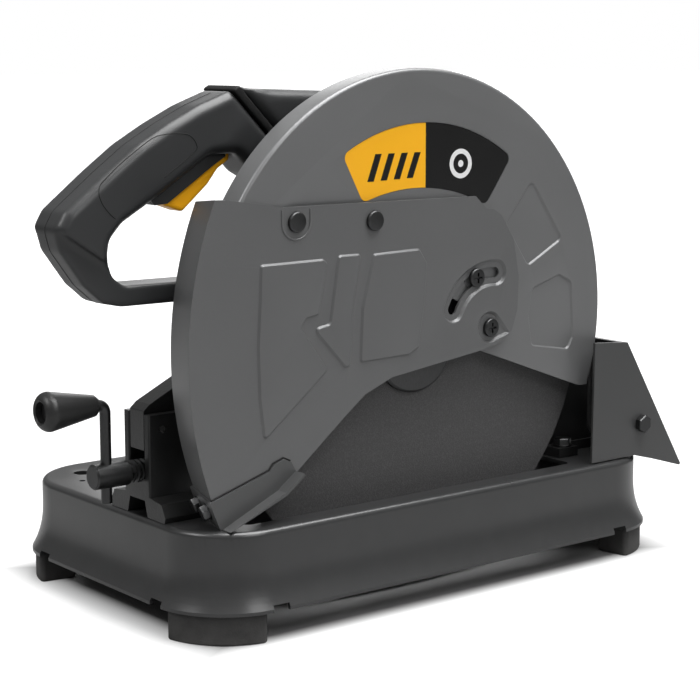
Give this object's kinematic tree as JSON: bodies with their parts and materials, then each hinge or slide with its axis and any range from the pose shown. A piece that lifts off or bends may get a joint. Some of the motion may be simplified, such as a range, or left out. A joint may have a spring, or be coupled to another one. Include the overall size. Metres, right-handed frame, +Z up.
{
  "type": "abrasive chop saw",
  "caption": "Bench chop saw: a tilting head carries a guarded abrasive wheel, geared motor and D-handle over a stamped base with screw vise, swivel fence and spark hood.",
  "frame": {"origin": "on the ground, at the centre of the four bench-bolt holes and so under the middle of the base", "axes": "+X to the operator's right, the wheel side; +Y to the rear, away from the operator and along the cut; +Z up"},
  "size_m": [0.29, 0.5615, 0.4],
  "materials": {
    "base_paint": "charcoal paint, satin to gloss",
    "foot_rubber": "moulded black rubber",
    "guard_paint": "mid-grey metallic paint",
    "lower_guard_paint": "dark grey metallic paint",
    "dark_sheet": "dark painted sheet",
    "hood_paint": "mid-grey paint",
    "casting_paint": "painted casting, fine grain",
    "cast_alloy": "die-cast alloy, matt",
    "wheel_abrasive": "bonded abrasive, coarse matt grain",
    "steel_bright": "turned bright steel",
    "steel_zinc": "zinc-plated steel",
    "steel_dark": "blackened steel",
    "spring_steel": "oiled spring wire",
    "handle_plastic": "charcoal moulded plastic, fine texture",
    "neck_plastic": "charcoal moulded plastic",
    "collar_rubber": "soft black rubber",
    "trigger_orange": "orange-yellow moulded plastic",
    "knob_plastic": "black moulded plastic",
    "motor_plastic": "charcoal glass-filled plastic",
    "label_yellow": "yellow printed film",
    "label_black": "black printed film",
    "lamination_steel": "stacked steel sheets",
    "copper_winding": "copper under clear varnish",
    "carbon": "pressed carbon"
  },
  "bodies": {
    "base": {"base_pan": "base_paint", "rubber_feet": "foot_rubber", "foot_screws": "steel_zinc", "vise_bracket": "casting_paint", "lever_pin": "steel_bright", "pivot_bracket": "casting_paint", "pivot_shaft": "steel_bright", "return_spring": "spring_steel", "deck_bolts": "steel_dark"},
    "head": {"gear_case": "cast_alloy", "gear_cover": "cast_alloy", "case_screws": "steel_zinc", "swing_arm": "cast_alloy", "ball_bearings": "steel_bright", "motor_housing": "motor_plastic", "motor_end_cap": "motor_plastic", "brush_caps": "knob_plastic", "carbon_brushes": "carbon", "stator": "copper_winding", "cable_inlet": "collar_rubber", "upper_guard": "guard_paint", "guard_back": "dark_sheet", "badge_yellow": "label_yellow", "badge_black": "label_black", "guard_cross_screws": "steel_dark", "handle_left": "handle_plastic", "handle_right": "handle_plastic", "handle_collar": "collar_rubber", "handle_neck": "neck_plastic", "handle_screws": "steel_dark", "trigger_pin": "steel_bright", "trigger_switch": "knob_plastic"},
    "spindle": {"spindle": "steel_bright", "spindle_gear": "steel_bright", "inner_flange": "steel_bright", "abrasive_wheel": "wheel_abrasive", "outer_flange": "steel_dark", "arbor_bolt": "steel_zinc"},
    "armature": {"armature": "lamination_steel", "armature_shaft": "steel_bright", "cooling_fan": "motor_plastic", "motor_pinion": "steel_bright"},
    "lower_guard": {"lower_guard": "lower_guard_paint", "guard_rivets": "steel_dark", "guard_lip": "lower_guard_paint", "lip_bolts": "steel_zinc"},
    "trigger": {"trigger": "trigger_orange"},
    "lock_off_button": {"lock_off_button": "knob_plastic"},
    "spindle_lock": {"spindle_lock_button": "knob_plastic"},
    "lock_pin": {"lock_pin": "knob_plastic"},
    "vise_jaw": {"vise_jaw": "casting_paint"},
    "vise_screw": {"vise_screw": "steel_zinc", "crank_rod": "steel_dark"},
    "crank_knob": {"crank_knob": "knob_plastic"},
    "lever": {"release_lever": "casting_paint", "half_nut": "steel_bright"},
    "fence": {"fence": "dark_sheet", "fence_clamp_bolt": "steel_dark"},
    "spark_guard": {"spark_guard": "hood_paint"}
  },
  "joints": [
    {"name": "head_tilt", "type": "hinge", "parent": "base", "child": "head", "pos_m": [0.05, 0.188, 0.163], "axis": [-1, 0, 0], "range_deg": [0, 45]},
    {"name": "spindle_spin", "type": "hinge", "parent": "head", "child": "spindle", "pos_m": [0.096, -0.013, 0.1925], "axis": [1, 0, 0], "continuous": true},
    {"name": "armature_spin", "type": "hinge", "parent": "head", "child": "armature", "pos_m": [0, 0.03508, 0.22493], "axis": [1, 0, 0], "continuous": true},
    {"name": "lower_guard_swing", "type": "hinge", "parent": "head", "child": "lower_guard", "pos_m": [0.1143, 0.0527, 0.2], "axis": [-1, 0, 0], "range_deg": [-27, 0]},
    {"name": "trigger_pull", "type": "hinge", "parent": "head", "child": "trigger", "pos_m": [0.05, -0.1585, 0.34], "axis": [-1, 0, 0], "range_deg": [0, 6], "stiffness_Nm_per_rad": 1},
    {"name": "lock_off_press", "type": "slide", "parent": "head", "child": "lock_off_button", "axis": [1, 0, 0], "range_m": [0, 0.003], "stiffness_N_per_m": 400},
    {"name": "spindle_lock_press", "type": "slide", "parent": "head", "child": "spindle_lock", "axis": [1, 0, 0], "range_m": [0, 0.004], "stiffness_N_per_m": 500},
    {"name": "lock_pin_slide", "type": "slide", "parent": "base", "child": "lock_pin", "axis": [1, 0, 0], "range_m": [0, 0.008]},
    {"name": "vise_jaw_slide", "type": "slide", "parent": "base", "child": "vise_jaw", "axis": [0, 1, 0], "range_m": [-0.112, 0.004]},
    {"name": "vise_screw_turn", "type": "hinge", "parent": "vise_jaw", "child": "vise_screw", "pos_m": [0.0405, -0.2, 0.1126], "axis": [0, 1, 0], "range_deg": [-10080, 360]},
    {"name": "crank_knob_spin", "type": "hinge", "parent": "vise_screw", "child": "crank_knob", "pos_m": [0.0405, -0.28, 0.1645], "axis": [0, 1, 0], "continuous": true},
    {"name": "lever_lift", "type": "hinge", "parent": "base", "child": "lever", "pos_m": [0.0405, -0.2135, 0.1443], "axis": [1, 0, 0], "range_deg": [0, 25]},
    {"name": "fence_swivel", "type": "hinge", "parent": "base", "child": "fence", "pos_m": [0.062, 0.036, 0.084], "axis": [0, 0, -1], "range_deg": [0, 30]},
    {"name": "spark_guard_tilt", "type": "hinge", "parent": "base", "child": "spark_guard", "pos_m": [0.11, 0.208, 0.1073], "axis": [-1, 0, 0], "range_deg": [0, 12]}
  ],
  "couplings": [
    {"joint": "armature_spin", "follows": "spindle_spin", "ratio": -3.4615},
    {"joint": "lower_guard_swing", "follows": "head_tilt", "ratio": -0.6},
    {"joint": "vise_jaw_slide", "follows": "vise_screw_turn", "m_per_rad": 0.00063662}
  ]
}
